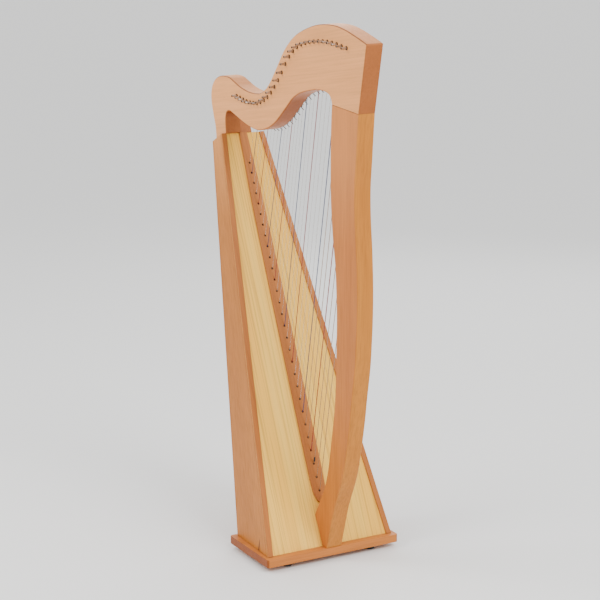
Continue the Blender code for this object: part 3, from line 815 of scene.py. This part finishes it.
def make_winding(number):
    """The coil on the tuning pin, whose last turn goes into the pin."""
    radius = string_radius(number)
    reach = PIN_RADIUS + radius + STRING_CLEARANCE
    coil = []
    for step in range(int(COIL_TURNS * COIL_STEPS) + 1):
        a = 2 * pi * step / COIL_STEPS
        y = HALF_NECK + STRING_SIDE - 2.05 * radius * step / COIL_STEPS
        coil.append(Vector((reach * cos(a), y, reach * sin(a))))
    coil.append(Vector((coil[-1].x * 0.4, coil[-1].y - radius, coil[-1].z * 0.4)))
    bm = bmesh.new()
    tube(bm, [at(PINS[number]) @ point for point in coil], radius, 8)
    body = f"tuning_pin_{number + 1:02d}"
    finish_piece(bm, f"winding_{number + 1:02d}", string_material(number), body, weighted=False)


def make_sleeve():
    """A short black sleeve on one bass string, just above its hole."""
    bend, bridge, _ = string_points(SLEEVED_STRING)
    along = (bridge - bend).normalized()
    radius = string_radius(SLEEVED_STRING)
    profile = [(1.0, 5.0), (1.9, 5.4), (2.1, 6.2), (2.1, 16.4), (1.9, 17.2), (1.0, 17.6)]
    bm = bmesh.new()
    tube(bm, [bend + along * (y * MM) for _, y in profile], [max(r * MM, radius) for r, _ in profile], 14)
    finish_piece(bm, "string_sleeve", RUBBER, "frame")


def make_anchor_strip():
    """The strip inside the soundboard that the strings are knotted behind."""
    low, high = hole_place(STRINGS - 1) - STRIP_END, hole_place(0) + STRIP_END
    front, back = -BOARD_DEPTH, -BOARD_DEPTH - STRIP_DEPTH
    wide, cut = STRIP_HALF_WIDTH, 1 * MM
    outline = [(front, -wide), (front, wide), (back + cut, wide), (back, wide - cut)]
    outline += [(back, cut - wide), (back + cut, -wide)]
    bm = bmesh.new()
    rings_to_mesh(bm, [[(x, y, z) for x, y in outline] for z in (low, high)], BOX_AXES)
    strip = finish_piece(bm, "anchor_strip", RED_WOOD, "frame")
    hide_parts("strings")


def make_knots():
    """A knot in each string behind the anchor strip."""
    steps = 24
    bm = bmesh.new()
    for number in range(STRINGS):
        centre = BOX_AXES @ Matrix.Translation((-BOARD_DEPTH - STRIP_DEPTH - 2 * MM, 0, hole_place(number)))
        loop = []
        for step in range(steps + 1):
            a = 2 * pi * step / steps
            spread = (2 + cos(3 * a)) * 0.9 * MM
            loop.append(centre @ Vector((sin(3 * a) * 0.8 * MM, spread * cos(2 * a), spread * sin(2 * a))))
        tube(bm, loop, string_radius(number), 6)
    finish_piece(bm, "string_knots", CLEAR, "frame", weighted=False)


def make_bridge_pins():
    """A pin for each string in the neck's far face, with a waist that the string rests in."""
    profile = [(0.4, 20), (2.0, 20), (2.0, 28.3), (1.75, 29.2), (1.7, 30), (1.75, 30.8), (2.0, 31.7)]
    profile += [(2.0, 33.4), (1.6, 34), (0.4, 34.1)]
    bm = bmesh.new()
    for number in range(STRINGS):
        _, bridge, _ = string_points(number)
        centre = bridge + AHEAD * (BRIDGE_RADIUS - GAP + string_radius(number))
        centre -= SIDEWAYS * (HALF_NECK + STRING_SIDE)
        turned(bm, profile, at(centre), 16)
    finish_piece(bm, "bridge_pins", BRIGHT, "frame")


def lever_plate(bm, matrix):
    """Foot plate of a lever with its screw, on the neck's face and above the hub."""
    corners = []
    for x, z, start in ((2.2, 7.8, 0), (-2.2, 7.8, 90), (-2.2, -2.2, 180), (2.2, -2.2, 270)):
        for step in range(5):
            a = radians(start + 22.5 * step)
            corners.append(((x + 1.6 * cos(a)) * MM, (z + 1.6 * sin(a)) * MM))
    plate = [[(x, y, z) for x, z in corners] for y in (-0.2 * MM, 0.8 * MM)]
    plate.append([(x * 0.94, 1.0 * MM, z * 0.97) for x, z in corners])
    rings_to_mesh(bm, plate, matrix)
    screw = [(0.3, 0.9), (2.0, 0.9), (1.9, 1.5), (1.3, 1.9), (0.5, 1.9), (0.4, 1.5)]
    turned(bm, screw, matrix @ Matrix.Translation((0, 0, 6.3 * MM)), 14)


def lever_arm(bm, matrix):
    """Blade of a lever, from its hub down and outwards, with a rounded tip."""
    stops = (  # how far out and up, and the half width and thickness there, mm
        (3.2, 1.0, 1.4, 1.3), (3.3, -1.8, 1.45, 1.2), (3.7, -4.2, 1.5, 1.05), (5.2, -6.0, 1.5, 0.9),
        (7.6, -8.0, 1.5, 0.8), (9.8, -10.0, 1.5, 0.75), (10.8, -10.9, 1.1, 0.6), (11.1, -11.2, 0.5, 0.3),
    )
    rings = []
    for out, up, wide, thick in stops:
        ring = []
        for a in circle(12):
            leaning = thick * sin(a)
            ring.append((wide * cos(a) * MM, (out + leaning * 0.8) * MM, (up + leaning * 0.5) * MM))
        rings.append(ring)
    rings_to_mesh(bm, rings, matrix)


def make_lever(number, matrix):
    """Hub, blade and the peg that shortens the string."""
    hub = [(0.3, 1.1), (3.2, 1.1), (3.2, 4.9), (2.9, 5.4), (1.4, 5.5), (1.2, 5.1), (0.3, 5.1)]
    peg = [(0.8, 4.6), (0.8, 9.4), (0.6, 9.8), (0.2, 9.9)]
    bm = bmesh.new()
    turned(bm, hub, matrix, 24)
    lever_arm(bm, matrix)
    turned(bm, peg, matrix @ Matrix.Translation((0, 0, 2.2 * MM)), 10)
    node = f"lever_{number + 1:02d}"
    body = node if number in JOINTED_LEVERS else "frame"
    lever = finish_piece(bm, node + "_shaped", BRONZE, body)
    if number in JOINTED_LEVERS:
        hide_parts(node)


def make_levers():
    plates = bmesh.new()
    for number in range(STRINGS):
        matrix = at(lever_place(number))
        lever_plate(plates, matrix)
        make_lever(number, matrix)
    finish_piece(plates, "lever_plates", STEEL, "frame")


# Studio


def make_stage():
    bpy.ops.mesh.primitive_plane_add(size=FLOOR_SIZE, location=(0, 0, -0.5 * MM))
    floor = bpy.context.object
    floor.name = "floor"
    n = Nodes("pale_floor")
    n.set(Base_Color=FLOOR_COLOUR, Roughness=0.7)
    floor.data.materials.append(n.material)

    world = bpy.data.worlds.new("studio")
    bpy.context.scene.world = world
    world.use_nodes = True
    sky = world.node_tree.nodes["Background"]
    sky.inputs["Color"].default_value = (1, 1, 1, 1)
    sky.inputs["Strength"].default_value = SKY_STRENGTH

    for name, place, target, size, power in LIGHTS:
        light = bpy.data.lights.new(name, "AREA")
        light.size = size
        light.energy = power
        holder = bpy.data.objects.new(name, light)
        holder.location = place
        holder.rotation_euler = (Vector(target) - Vector(place)).to_track_quat("-Z", "Y").to_euler()
        bpy.context.scene.collection.objects.link(holder)


def make_camera():
    camera = bpy.data.cameras.new("camera")
    camera.sensor_width = CAMERA_SENSOR
    camera.lens = CAMERA_LENS
    holder = bpy.data.objects.new("camera", camera)
    level = cos(CAMERA_TILT)
    look = Vector((-sin(CAMERA_TURN) * level, cos(CAMERA_TURN) * level, -sin(CAMERA_TILT)))
    holder.location = CAMERA_PLACE
    holder.rotation_mode = "QUATERNION"
    holder.rotation_quaternion = look.to_track_quat("-Z", "Y")
    bpy.context.scene.collection.objects.link(holder)
    bpy.context.scene.camera = holder


make_woodwork()
make_feet()
make_pins()
make_collars()
for string in range(STRINGS):
    make_string(string)
    make_winding(string)
make_sleeve()
make_anchor_strip()
make_knots()
make_eyelets()
make_bridge_pins()
make_levers()
make_stage()
make_camera()
